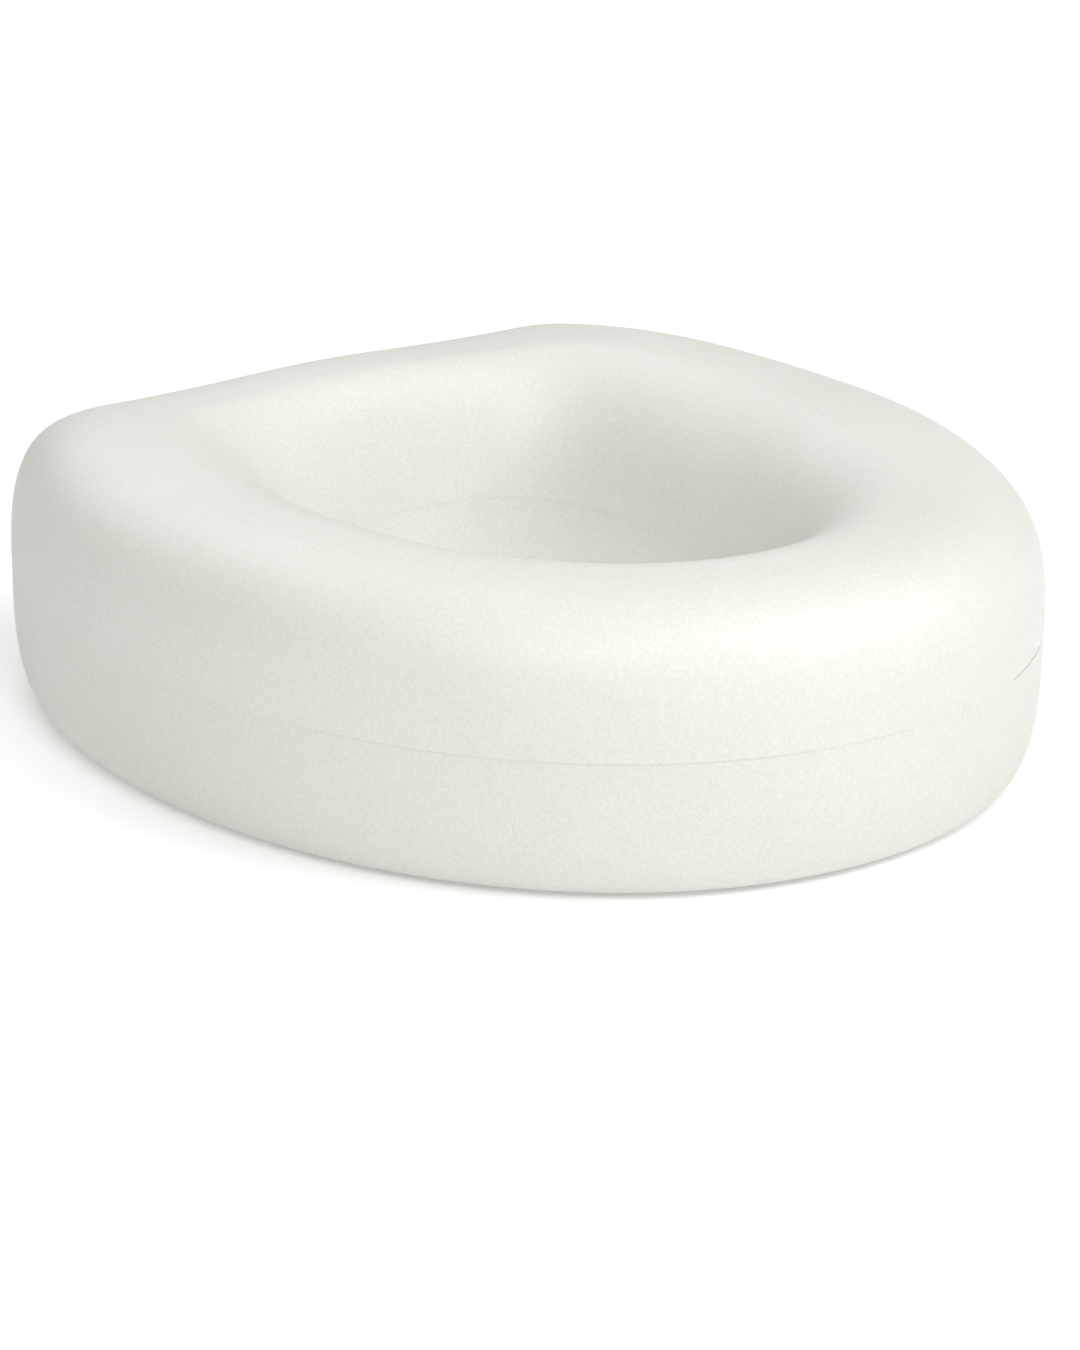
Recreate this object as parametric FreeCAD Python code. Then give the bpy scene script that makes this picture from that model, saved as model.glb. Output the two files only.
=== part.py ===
"""A raised toilet seat: a hollow seat ring, straight across the back, that stands on the toilet bowl.

Two mouldings meet on a flat parting plane at about half height. The upper one carries the contoured
seat, the lower one the underside. A tongue on the lower moulding sits in a rebate of the upper one, over
a soft seal at the outside and another round the opening. Screws deep in tapered wells of the lower
moulding pull the two together, and a cap closes each well. Four rubber pads in pockets of the underside
grip the bowl. A plug closes the hole that the hollow ring breathes through. The crest of the seat rises
and falls slowly round the back, and the joint stands open by a hair at the front right.

Millimetres. The origin is at the middle of the footprint, on the surface that the pads stand on. +Z is
up, the rounded front faces -Y and the straight back faces +Y. The seat is symmetric about X = 0.
"""

import FreeCAD
import Part
import math
import os

# Overall size
HALF_WIDTH = 192.0  # widest half width, at the parting plane
FRONT_REACH = 234.0  # from the widest line to the front
BACK_REACH = 227.0  # the same for the rear curve, before the straight back cuts it
BACK_LINE = 167.0  # from the widest line to the straight back
OUTLINE_POWER = 2.07  # 2 is a true ellipse
BACK_CORNER = 26.0  # plan radius of the two rear corners
HEIGHT = 113.7  # floor to the mean height of the crest
FOOT_LEVEL = 1.0  # underside of the lower moulding: the pads stand this far proud
PARTING = 57.2  # height of the parting plane

# Opening, at the parting plane where it is narrowest
OPENING_HALF_WIDTH = 81.0
OPENING_REACH = 111.0  # from its middle to its front and to its back
OPENING_SHIFT = 20.5  # its middle lies this far in front of the widest line
OPENING_FRONT_POWER = 1.95  # a rounded front
OPENING_BACK_POWER = 3.4  # a squarer back

# Section of the ring
CREST_INSET = 58.5  # the crest lies this far in from the outer outline
CREST_SHARE = 0.8  # and no further than this share of the way to the opening
CREST_BLEND = 6.0  # how sharply one limit, or one side of a rear corner, takes over from the other
WAVE_HEIGHT = 1.0  # the crest rises and falls this much about its mean height at the back
WAVE_COUNT = 7.0  # waves in a full turn: one rises at the middle of the back
WAVE_FADE = 2.0  # how quickly the wave dies away towards the front
OUTER_ROLL_POWER = 3.15
INNER_ROLL_POWER = 1.9
FOOT_INSET = 18.0  # the outer wall draws in this far down to the foot
FOOT_POWER = 3.1
LIP_INSET = 9.0  # the wall of the opening flares out this far down to the foot
LIP_POWER = 3.6
WALL = 3.6

# Joint at the parting plane
SEAM_GAP = 0.2  # shadow gap between the two mouldings
SEAM_STEP = 0.4  # the lower moulding stands in this far under the upper one
OPEN_ANGLE = 54.0  # degrees from the front, on the right, where the joint stands open
OPEN_FROM = 158.0  # from the origin to where it starts to open, that way
OPEN_RUN = 38.0  # over this length
OPEN_RISE = 1.2  # it opens by this much
LAND = 1.9  # width of the upper moulding's lip outside the rebate
TONGUE_CLEARANCE = 0.3
TONGUE_THICKNESS = 1.2
TONGUE_HEIGHT = 3.2
SEAL_THICKNESS = 1.0

# Screws, the wells below them and the bosses above
WELL_ANGLES = (0.0, 64.0, 94.0, 146.0, 180.0)  # degrees from the front, the same on both sides
WELL_MOUTH = 12.5
WELL_THROAT = 7.5
WELL_WALL = 2.5
WELL_LAND = 3.0
SCREW_HOLE = 2.4
BOSS_RADIUS = 6.5
PILOT_RADIUS = 2.3  # clear of the thread crests
PILOT_DEPTH = 22.0
RIB_THICKNESS = 2.5
RIB_FOOT = 80.0  # the ribs beside the bosses hang from the roof down to this height
RIB_SPAN = 400.0  # longer than the ring is wide, before it is trimmed
RIB_ZONE = 100.0  # it is trimmed to a square of this side round its boss
SCREW_LENGTH = 20.0
SCREW_CREST = 2.0
SCREW_CORE = 1.45
SCREW_PITCH = 1.6
THREAD_FLANK = 0.3  # from the crest of a thread to its foot, as a share of the pitch
SCREW_TIP = 2.4
HEAD_RADIUS = 3.7
HEAD_HEIGHT = 2.6
HEAD_DOME = 0.9
RECESS_LENGTH = 4.0
RECESS_WIDTH = 0.9
RECESS_DEPTH = 1.5

# Caps in the mouths of the wells
CAP_LEDGE = 1.8
CAP_RECESS = 2.0
CAP_SET_IN = 0.3
CAP_CLEARANCE = 0.3
CAP_SKIRT_HEIGHT = 5.0
CAP_SKIRT_WALL = 1.4
CAP_NOTCH = 3.0

# Rubber pads
PAD_ANGLES = {"front_right_pad": 32.0, "rear_right_pad": 120.0}  # degrees from the front
PAD_LENGTH = 58.0
PAD_WIDTH = 24.0
PAD_THICKNESS = 4.0
PAD_CORNER = 8.0
PAD_EDGE = 0.6
PAD_CLEARANCE = 0.3
PAD_GROOVES = 8
PAD_GROOVE_RADIUS = 0.9
PAD_GROOVE_DEPTH = 0.7
POCKET_WALL = 3.0
STUD_RADIUS = 3.0
STUD_PITCH = 34.0
STUD_CLEARANCE = 0.3
STUD_HEAD_RADIUS = 4.6
STUD_HEAD_HEIGHT = 3.4
STUD_TIP_RADIUS = 2.2

# Vent plug
VENT_ANGLE = 163.0
VENT_RADIUS = 4.0
VENT_CLEARANCE = 0.3
VENT_FLANGE = 7.0
VENT_RECESS = 1.5
VENT_SET_IN = 0.2
VENT_BARB_RADIUS = 4.8
VENT_BARB_HEIGHT = 3.0
VENT_TIP_RADIUS = 3.0
VENT_BORE = 0.8

# How finely the free-form skins are laid out
CURVE_STATIONS = 34
CORNER_STATIONS = 9
BACK_STATIONS = 8
ROLL_ROWS = 13
WALL_ROWS = 9
QUARTER_SAMPLES = 400
SIDE_SAMPLES = 200
CREST_STEPS = 24
SEW_TOLERANCE = 1e-4
DEGREE = 3
PAST = 1.0  # how far a cutter runs past the face it opens

WIDEST_Y = (FRONT_REACH - BACK_LINE) / 2.0
BACK_Y = WIDEST_Y + BACK_LINE
MIDDLE = FreeCAD.Vector(0, WIDEST_Y - OPENING_SHIFT, 0)  # of the opening
ORIGIN = FreeCAD.Vector(0, 0, 0)
UP = FreeCAD.Vector(0, 0, 1)
SIDEWAYS = FreeCAD.Vector(1, 0, 0)


# Outlines, seen from above: closed loops of (point, normal out of the material) from the middle of the back


def outer_point(angle):
    """Point and normal of the curved side, from 0 at the front to 180 at the rear, before the cut."""
    s, c = math.sin(math.radians(angle)), math.cos(math.radians(angle))
    reach = FRONT_REACH if c > 0.0 else BACK_REACH
    share = 2.0 / OUTLINE_POWER
    x = HALF_WIDTH * math.copysign(abs(s) ** share, s)
    y = -math.copysign(reach * abs(c) ** share, c)
    slope = OUTLINE_POWER - 1.0
    across = math.copysign(abs(x / HALF_WIDTH) ** slope / HALF_WIDTH, x)
    along = math.copysign(abs(y / reach) ** slope / reach, y)
    return FreeCAD.Vector(x, y + WIDEST_Y, 0), FreeCAD.Vector(across, along, 0).normalize()


SIDE_POINTS = [outer_point(180.0 - 360.0 * i / SIDE_SAMPLES)[0] for i in range(SIDE_SAMPLES)]


def corner_angle():
    """Where, on the curved side, a rear corner of the wanted radius leaves it to meet the back."""
    low, high = 90.0, 180.0
    for _ in range(50):
        half_way = (low + high) / 2.0
        point, normal = outer_point(half_way)
        if point.y - BACK_CORNER * normal.y < BACK_Y - BACK_CORNER:
            low = half_way
        else:
            high = half_way
    return low


def right_half_outline():
    """The outer outline from the front to the back, on the right."""
    last = corner_angle()
    half = [outer_point(last * i / CURVE_STATIONS) for i in range(CURVE_STATIONS + 1)]
    half[0] = (FreeCAD.Vector(0, half[0][0].y, 0), FreeCAD.Vector(0, -1, 0))
    point, normal = half[-1]
    centre = point - normal * BACK_CORNER
    start = math.atan2(normal.y, normal.x)
    for i in range(1, CORNER_STATIONS + 1):
        a = start + (math.pi / 2.0 - start) * i / CORNER_STATIONS
        normal = FreeCAD.Vector(math.cos(a), math.sin(a), 0)
        half.append((centre + normal * BACK_CORNER, normal))
    for i in range(1, BACK_STATIONS + 1):
        x = centre.x * (1.0 - i / BACK_STATIONS)
        half.append((FreeCAD.Vector(x, BACK_Y, 0), FreeCAD.Vector(0, 1, 0)))
    return half


def outer_outline():
    """The closed outer outline."""
    right = right_half_outline()
    left = [(FreeCAD.Vector(-p.x, p.y, 0), FreeCAD.Vector(-n.x, n.y, 0)) for p, n in right[1:-1]]
    return right[::-1] + left


def opening_point(direction):
    """Point of the opening's outline that lies that way from its middle."""
    power = OPENING_FRONT_POWER if direction.y < 0 else OPENING_BACK_POWER
    shares = abs(direction.x / OPENING_HALF_WIDTH) ** power + abs(direction.y / OPENING_REACH) ** power
    return MIDDLE + direction * shares ** (-1.0 / power)


def opening_outline(outer):
    """The closed outline of the opening, point for point opposite the outer outline."""
    points = [opening_point((p - MIDDLE).normalize()) for p, _ in outer]
    found = []
    for i, p in enumerate(points):
        along = points[(i + 1) % len(points)] - points[i - 1]
        found.append((p, FreeCAD.Vector(along.y, -along.x, 0).normalize()))
    return found


def inset_outline(outline, depth):
    """The same outline, moved into the material."""
    return [(p - n * depth, n) for p, n in outline]


# Skins: free-form surfaces through rows of points, one row to each point of an outline


def quarter(width, height, power, rows):
    """Evenly spaced points of a superellipse quarter from (0, 0), where it is upright, to the far end."""
    curve = []
    for i in range(QUARTER_SAMPLES + 1):
        t = math.pi / 2.0 * i / QUARTER_SAMPLES
        across = 1.0 - max(0.0, math.cos(t)) ** (2.0 / power)
        curve.append((width * across, height * math.sin(t) ** (2.0 / power)))
    lengths = [0.0]
    for a, b in zip(curve, curve[1:]):
        lengths.append(lengths[-1] + math.dist(a, b))
    points = []
    k = 0
    for i in range(rows + 1):
        wanted = lengths[-1] * i / rows
        while k < QUARTER_SAMPLES - 1 and lengths[k + 1] < wanted:
            k += 1
        share = (wanted - lengths[k]) / (lengths[k + 1] - lengths[k])
        (x0, z0), (x1, z1) = curve[k], curve[k + 1]
        points.append((x0 + (x1 - x0) * share, z0 + (z1 - z0) * share))
    return points


def least_of(first, second):
    """The smaller of two lengths, eased where they are nearly equal."""
    return (first**-CREST_BLEND + second**-CREST_BLEND) ** (-1.0 / CREST_BLEND)


def crest_distance(point, facing):
    """How far the crest lies from an outer point, along the line to the opening."""
    across = (facing - point).normalize()
    low, high = 0.0, (facing - point).Length
    limit = CREST_SHARE * high
    for _ in range(CREST_STEPS):
        half_way = (low + high) / 2.0
        place = point + across * half_way
        from_side = min(place.distanceToPoint(p) for p in SIDE_POINTS)
        if least_of(from_side, BACK_Y - place.y) < CREST_INSET:
            low = half_way
        else:
            high = half_way
    return least_of(low, limit)


def crest_rise(crest):
    """How far the crest stands above its mean height: a slow wave that fades towards the front."""
    from_back = math.atan2(crest.x - MIDDLE.x, crest.y - MIDDLE.y)
    fade = abs(math.cos(from_back / 2.0)) ** WAVE_FADE
    return WAVE_HEIGHT * math.cos(WAVE_COUNT * from_back) * fade


def seat_row(outer, inner, depth):
    """One row over the seat, depth below its skin: up the outer wall, over the crest, down the opening."""
    (p, n), (q, m) = outer, inner
    crest = p + (q - p).normalize() * crest_distance(p, q)
    start, end = p - n * depth, q - m * depth
    rise = HEIGHT + crest_rise(crest) - depth - PARTING
    out, back = start - crest, end - crest
    climb = quarter(out.Length, rise, OUTER_ROLL_POWER, ROLL_ROWS)
    fall = quarter(back.Length, rise, INNER_ROLL_POWER, ROLL_ROWS)[::-1][1:]
    row = [start - out.normalize() * d + UP * (PARTING + z) for d, z in climb]
    return row + [end - back.normalize() * d + UP * (PARTING + z) for d, z in fall]


def wall_row(point, normal, inset, power, foot):
    """One row down a lower wall, from the parting plane to the foot."""
    drops = quarter(inset, PARTING - foot, power, WALL_ROWS)
    return [point - normal * d + UP * (PARTING - z) for d, z in drops]


def poles_near(points, closed):
    """Poles of a uniform cubic spline that runs through points, to within a few hundredths."""
    count = len(points)
    poles = []
    for i, p in enumerate(points):
        if closed or 0 < i < count - 1:
            p = p - (points[i - 1] + points[(i + 1) % count] - p * 2.0) / 6.0
        poles.append(p)
    if not closed:
        poles.insert(1, (poles[0] * 2.0 + poles[1]) / 3.0)
        poles.insert(-1, (poles[-1] * 2.0 + poles[-2]) / 3.0)
    return poles


def skin(rows):
    """The smooth closed surface through rows of points."""
    across = [poles_near(row, False) for row in rows]
    around = [poles_near(list(line), True) for line in zip(*across)]
    net = [list(row) for row in zip(*around)]
    spans = len(around) - DEGREE
    ends = [DEGREE + 1] + [1] * (spans - 1) + [DEGREE + 1]
    surface = Part.BSplineSurface()
    knots = (list(range(len(rows) + 1)), list(range(spans + 1)))
    surface.buildFromPolesMultsKnots(net, [1] * (len(rows) + 1), ends, *knots, True, False, DEGREE, DEGREE)
    return surface


def rim(surface, end):
    """The closed edge of a skin through the first (0) or the last (1) point of its rows."""
    return Part.Wire(surface.vIso(surface.bounds()[2 + end]).toShape())


def flat_ring(first, second):
    """The plane face between two closed wires at one height, either of which may be the outer one."""
    return Part.makeFace([first, second], "Part::FaceMakerBullseye")


def ring_solid(skins):
    """The solid inside skins that follow each other round the section, closed with flat rings."""
    faces = [s.toShape() for s in skins]
    for i, s in enumerate(skins):
        faces.append(flat_ring(rim(s, 1), rim(skins[(i + 1) % len(skins)], 0)))
    shell = Part.makeShell(faces)
    shell.sewShape(SEW_TOLERANCE)
    solid = Part.makeSolid(Part.makeShell(shell.Faces))
    if solid.Volume < 0:
        solid.reverse()
    return solid


def seat_solid(outer, inner, depth):
    """Everything above the parting plane that lies at least depth inside the seat's skin."""
    return ring_solid([skin([seat_row(o, i, depth) for o, i in zip(outer, inner)])])


def base_solid(outer, inner, depth):
    """Everything below the parting plane that lies at least depth inside the lower walls."""
    foot = FOOT_LEVEL + depth
    outside = [wall_row(p, n, FOOT_INSET, FOOT_POWER, foot) for p, n in inset_outline(outer, depth)]
    inside = [wall_row(p, n, LIP_INSET, LIP_POWER, foot)[::-1] for p, n in inset_outline(inner, depth)]
    return ring_solid([skin(outside), skin(inside)])


def band(outline, shallow, deep, bottom, top):
    """An upright ring between two depths inside an outline."""
    edges = []
    for depth in (shallow, deep):
        curve = Part.BSplineCurve()
        points = [p + UP * bottom for p, _ in inset_outline(outline, depth)]
        curve.interpolate(points, PeriodicFlag=True)
        edges.append(Part.Wire(curve.toShape()))
    return flat_ring(*edges).extrude(UP * (top - bottom))


# Places round the ring


def foot_place(angle, outer):
    """Placement half way across the underside, with X along the ring and Y out across it."""
    a = math.radians(angle)
    direction = FreeCAD.Vector(math.sin(a), -math.cos(a), 0)
    near = (opening_point(direction) - MIDDLE).Length + LIP_INSET
    ray = Part.makeLine(MIDDLE, MIDDLE + direction * RIB_SPAN)
    outline = Part.makePolygon([p for p, _ in inset_outline(outer, FOOT_INSET)])
    far = (outline.distToShape(ray)[1][0][0] - MIDDLE).Length
    turn = FreeCAD.Rotation(UP, angle + 180.0)
    return FreeCAD.Placement(MIDDLE + direction * ((near + far) / 2.0), turn)


def well_places(outer):
    """The placements of all wells, right side first."""
    places = []
    for angle in WELL_ANGLES:
        places.append(foot_place(angle, outer))
        if 0.0 < angle < 180.0:
            places.append(foot_place(-angle, outer))
    return places


def put(shape, place):
    """A copy of a shape, taken from its own frame to its place."""
    copy = shape.copy()
    copy.Placement = place
    return copy


def turned(profile):
    """The solid of revolution about Z of a closed (radius, height) profile."""
    points = [FreeCAD.Vector(r, 0, z) for r, z in profile]
    face = Part.Face(Part.makePolygon(points + points[:1]))
    return face.revolve(ORIGIN, UP, 360.0)


def post(radius, bottom, top):
    """An upright cylinder about Z."""
    return Part.makeCylinder(radius, top - bottom, UP * bottom)


def slab(length, width, corner, bottom, top):
    """An upright block about Z with rounded upright edges."""
    corner_point = FreeCAD.Vector(-length / 2.0, -width / 2.0, bottom)
    block = Part.makeBox(length, width, top - bottom, corner_point)
    upright = [e for e in block.Edges if abs(e.Vertexes[0].Z - e.Vertexes[1].Z) > (top - bottom) / 2.0]
    return block.makeFillet(corner, upright)


# Pieces


def seat_shell(outer, inner, places):
    """The upper moulding: contoured seat, screw bosses, ribs beside them and the rebate of the joint."""
    features = []
    for place in places:
        features.append(put(post(BOSS_RADIUS, PARTING - PAST, HEIGHT), place))
        rib_corner = FreeCAD.Vector(-RIB_THICKNESS / 2.0, -RIB_SPAN / 2.0, RIB_FOOT)
        rib = Part.makeBox(RIB_THICKNESS, RIB_SPAN, HEIGHT - RIB_FOOT, rib_corner)
        around = slab(RIB_ZONE, RIB_ZONE, BOSS_RADIUS, RIB_FOOT - PAST, HEIGHT + PAST)
        features.append(put(rib.common(around), place))
    hollow = seat_solid(outer, inner, WALL)
    room = hollow.cut(features)
    shell = seat_solid(outer, inner, 0.0).cut(room)
    cutters = [put(post(PILOT_RADIUS, PARTING - PAST, PARTING + PILOT_DEPTH), place) for place in places]
    rebate_top = PARTING + TONGUE_HEIGHT + SEAL_THICKNESS
    for outline in (outer, inner):
        cutters.append(band(outline, LAND, WALL + PAST, PARTING - PAST, rebate_top))
        cutters.append(band(outline, -PAST, LAND + PAST / 2.0, PARTING - PAST, PARTING + SEAM_GAP))
    lip = band(outer, -PAST, LAND + PAST / 2.0, PARTING - PAST, PARTING + SEAM_GAP + OPEN_RISE)
    return shell.cut(cutters + [lip.common(open_wedge())])


def open_wedge():
    """The slim wedge by which the joint stands open at the front right."""
    level = PARTING + SEAM_GAP
    profile = [(OPEN_FROM, level - PAST), (OPEN_FROM, level), (OPEN_FROM + OPEN_RUN, level + OPEN_RISE)]
    profile.append((OPEN_FROM + OPEN_RUN, level - PAST))
    points = [FreeCAD.Vector(RIB_SPAN / 2.0, -d, z) for d, z in profile]
    wedge = Part.Face(Part.makePolygon(points + points[:1])).extrude(SIDEWAYS * -RIB_SPAN)
    wedge.rotate(ORIGIN, UP, OPEN_ANGLE)
    return wedge


def base_shell(outer, inner, places, pad_places, vent_place):
    """The lower moulding: walls, underside, wells, pad pockets, vent hole and the tongue of the joint."""
    low_outer, low_inner = inset_outline(outer, SEAM_STEP), inset_outline(inner, SEAM_STEP)
    hollow = base_solid(low_outer, low_inner, WALL)
    shell = base_solid(low_outer, low_inner, 0.0).cut(hollow)
    mouth, throat = WELL_MOUTH + WELL_WALL, WELL_THROAT + WELL_WALL
    around_well = Part.makeCone(mouth, throat, PARTING - FOOT_LEVEL, UP * FOOT_LEVEL)
    added = [put(around_well, place) for place in places]
    pocket_roof = PAD_THICKNESS + POCKET_WALL
    border = 2.0 * (PAD_CLEARANCE + POCKET_WALL)
    around_pad = slab(PAD_LENGTH + border, PAD_WIDTH + border, PAD_CORNER, FOOT_LEVEL, pocket_roof)
    added += [put(around_pad, place) for place in pad_places]
    for outline in (outer, inner):
        near = LAND + TONGUE_CLEARANCE
        added.append(band(outline, near, near + TONGUE_THICKNESS, PARTING - WALL, PARTING + TONGUE_HEIGHT))
    shell = shell.fuse(added)
    cutters = [put(well_room(), place) for place in places]
    for place in pad_places:
        cutters.append(put(pad_room(), place))
    cutters.append(put(post(VENT_RADIUS + VENT_CLEARANCE, 0.0, FOOT_LEVEL + WALL + PAST), vent_place))
    cutters.append(put(post(VENT_FLANGE + VENT_CLEARANCE, 0.0, FOOT_LEVEL + VENT_RECESS), vent_place))
    return shell.cut(cutters)


def well_room():
    """The space of a well: a recess for the cap, a long taper and the screw's hole."""
    floor = FOOT_LEVEL
    taper = Part.makeCone(WELL_MOUTH, WELL_THROAT, PARTING - WELL_LAND - floor, UP * floor)
    ledge = post(WELL_MOUTH + CAP_LEDGE, floor - PAST, floor + CAP_RECESS)
    return taper.fuse([ledge, post(SCREW_HOLE, PARTING - WELL_LAND - PAST, PARTING + PAST)])


def pad_room():
    """The space of a pad: its pocket and the two holes for its studs."""
    gap = 2.0 * PAD_CLEARANCE
    pocket = slab(PAD_LENGTH + gap, PAD_WIDTH + gap, PAD_CORNER, 0.0, PAD_THICKNESS)
    holes = []
    for side in (-1.0, 1.0):
        hole = post(STUD_RADIUS + STUD_CLEARANCE, 0.0, PAD_THICKNESS + POCKET_WALL + PAST)
        hole.translate(SIDEWAYS * (side * STUD_PITCH / 2.0))
        holes.append(hole)
    return pocket.fuse(holes)


def joint_seal(outline):
    """A flat soft ring between the top of the tongue and the roof of the rebate."""
    near = LAND + TONGUE_CLEARANCE
    bottom = PARTING + TONGUE_HEIGHT
    return band(outline, near, near + TONGUE_THICKNESS, bottom, bottom + SEAL_THICKNESS)


def screw():
    """A pan-head screw for plastics, point up, its head under the land of a well."""
    seat = PARTING - WELL_LAND
    profile = [(0.0, seat - HEAD_HEIGHT), (HEAD_RADIUS - HEAD_DOME, seat - HEAD_HEIGHT)]
    profile.append((HEAD_RADIUS, seat - HEAD_HEIGHT + HEAD_DOME))
    profile += [(HEAD_RADIUS, seat), (SCREW_CORE, seat)]
    height = seat + WELL_LAND
    while height + SCREW_PITCH < seat + SCREW_LENGTH - SCREW_TIP:
        for flank, radius in ((-THREAD_FLANK, SCREW_CORE), (0.0, SCREW_CREST), (THREAD_FLANK, SCREW_CORE)):
            profile.append((radius, height + SCREW_PITCH * (0.5 + flank)))
        height += SCREW_PITCH
    profile.append((SCREW_CORE, seat + SCREW_LENGTH - SCREW_TIP))
    profile.append((0.0, seat + SCREW_LENGTH))
    recess = []
    for length, width in ((RECESS_LENGTH, RECESS_WIDTH), (RECESS_WIDTH, RECESS_LENGTH)):
        corner = FreeCAD.Vector(-length / 2.0, -width / 2.0, seat - HEAD_HEIGHT - PAST)
        recess.append(Part.makeBox(length, width, RECESS_DEPTH + PAST, corner))
    return turned(profile).cut(recess)


def well_radius(height):
    """Radius of a well at a height."""
    share = (height - FOOT_LEVEL) / (PARTING - WELL_LAND - FOOT_LEVEL)
    return WELL_MOUTH + (WELL_THROAT - WELL_MOUTH) * share


def well_cap():
    """A push-in cap: a flange in the recess, a skirt up the taper and a notch to lever it out by."""
    face, ledge = FOOT_LEVEL + CAP_SET_IN, FOOT_LEVEL + CAP_RECESS
    top = ledge + CAP_SKIRT_HEIGHT
    flange = WELL_MOUTH + CAP_LEDGE - CAP_CLEARANCE
    low, high = well_radius(ledge) - CAP_CLEARANCE, well_radius(top) - CAP_CLEARANCE
    profile = [(0.0, face), (flange, face), (flange, ledge), (low, ledge), (high, top)]
    profile += [(high - CAP_SKIRT_WALL, top), (low - CAP_SKIRT_WALL, ledge), (0.0, ledge)]
    corner = FreeCAD.Vector(-CAP_NOTCH / 2.0, flange - CAP_LEDGE / 2.0, 0.0)
    notch = Part.makeBox(CAP_NOTCH, CAP_LEDGE, FOOT_LEVEL + CAP_RECESS / 2.0, corner)
    return turned(profile).cut(notch)


def rubber_pad():
    """A grooved pad with two barbed studs that hold it in its pocket."""
    body = slab(PAD_LENGTH, PAD_WIDTH, PAD_CORNER, 0.0, PAD_THICKNESS)
    sole = [e for e in body.Edges if max(v.Z for v in e.Vertexes) < PAD_EDGE]
    body = body.makeChamfer(PAD_EDGE, sole)
    neck = PAD_THICKNESS + POCKET_WALL
    profile = [(0.0, PAD_THICKNESS - PAST), (STUD_RADIUS, PAD_THICKNESS - PAST), (STUD_RADIUS, neck)]
    tip = neck + STUD_HEAD_HEIGHT
    profile += [(STUD_HEAD_RADIUS, neck), (STUD_TIP_RADIUS, tip), (0.0, tip)]
    studs = []
    for side in (-1.0, 1.0):
        stud = turned(profile)
        stud.translate(SIDEWAYS * (side * STUD_PITCH / 2.0))
        studs.append(stud)
    grooves = []
    for i in range(PAD_GROOVES):
        x = PAD_LENGTH * ((i + 1.0) / (PAD_GROOVES + 1.0) - 0.5)
        start = FreeCAD.Vector(x, -PAD_WIDTH, PAD_GROOVE_DEPTH - PAD_GROOVE_RADIUS)
        grooves.append(Part.makeCylinder(PAD_GROOVE_RADIUS, 2.0 * PAD_WIDTH, start, FreeCAD.Vector(0, 1, 0)))
    return body.fuse(studs).cut(grooves)


def vent_plug():
    """A barbed plug in the underside, with a fine bore that lets the hollow ring breathe."""
    face, ledge = FOOT_LEVEL + VENT_SET_IN, FOOT_LEVEL + VENT_RECESS
    roof = FOOT_LEVEL + WALL
    profile = [(VENT_BORE, face), (VENT_FLANGE, face), (VENT_FLANGE, ledge), (VENT_RADIUS, ledge)]
    profile += [(VENT_RADIUS, roof), (VENT_BARB_RADIUS, roof)]
    profile += [(VENT_TIP_RADIUS, roof + VENT_BARB_HEIGHT), (VENT_BORE, roof + VENT_BARB_HEIGHT)]
    return turned(profile)


def write(name, shape):
    """Write one piece, or a group of equal ones, to its own file."""
    shape.exportStep(os.path.join("parts", name + ".step"))


def main():
    """Build and write every piece."""
    os.makedirs("parts", exist_ok=True)
    outer = outer_outline()
    inner = opening_outline(outer)
    wells = well_places(outer)
    pads = {}
    for name, angle in PAD_ANGLES.items():
        pads[name] = foot_place(angle, outer)
        pads[name.replace("right", "left")] = foot_place(-angle, outer)
    vent = foot_place(VENT_ANGLE, outer)
    write("seat_shell", seat_shell(outer, inner, wells))
    write("base_shell", base_shell(outer, inner, wells, pads.values(), vent))
    write("outer_joint_seal", joint_seal(outer))
    write("inner_joint_seal", joint_seal(inner))
    write("assembly_screws", Part.makeCompound([put(screw(), place) for place in wells]))
    write("well_caps", Part.makeCompound([put(well_cap(), place) for place in wells]))
    write("vent_plug", put(vent_plug(), vent))
    for name, place in pads.items():
        write(name, put(rubber_pad(), place))


main()
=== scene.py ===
"""The looks of a raised toilet seat: moulded plastic shells, rubber pads, fasteners and a plain studio.

Metres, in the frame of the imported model: the origin is at the middle of the footprint on the floor, +Z is
up and the rounded front of the seat faces -Y.
"""

import logging
import math
from dataclasses import dataclass, field
from enum import Enum

import bpy
from bpy.types import Material, Node, NodeSocket, Object, ShaderNodeTree
from mathutils import Matrix, Vector
from mathutils.geometry import intersect_line_line_2d


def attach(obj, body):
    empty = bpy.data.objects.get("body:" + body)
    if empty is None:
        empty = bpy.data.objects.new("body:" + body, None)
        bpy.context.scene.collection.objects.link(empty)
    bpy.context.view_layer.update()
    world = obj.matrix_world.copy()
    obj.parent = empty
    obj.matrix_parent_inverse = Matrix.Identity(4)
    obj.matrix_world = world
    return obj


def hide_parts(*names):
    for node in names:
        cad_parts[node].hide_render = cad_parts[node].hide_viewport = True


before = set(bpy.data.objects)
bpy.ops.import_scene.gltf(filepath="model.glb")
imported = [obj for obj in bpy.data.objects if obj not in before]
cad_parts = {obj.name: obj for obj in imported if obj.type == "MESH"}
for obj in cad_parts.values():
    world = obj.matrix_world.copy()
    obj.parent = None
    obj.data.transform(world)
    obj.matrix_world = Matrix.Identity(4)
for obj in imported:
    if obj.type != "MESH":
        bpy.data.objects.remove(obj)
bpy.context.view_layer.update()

MM = 0.001
MERGE_DISTANCE = 0.002 * MM
VENT_ANGLE = 163.0
UP = Vector((0.0, 0.0, 1.0))
EVEN = Vector((1.0, 1.0, 1.0))
FULL = (0.0, 1.0)
ROOT = "root"
FINE_SHARE = 0.6
COARSE_SHARE = 0.7
CURVE_SAMPLES = 400
SEARCH_STEPS = 50
CORNER_ANGLE = 60.0
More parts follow.
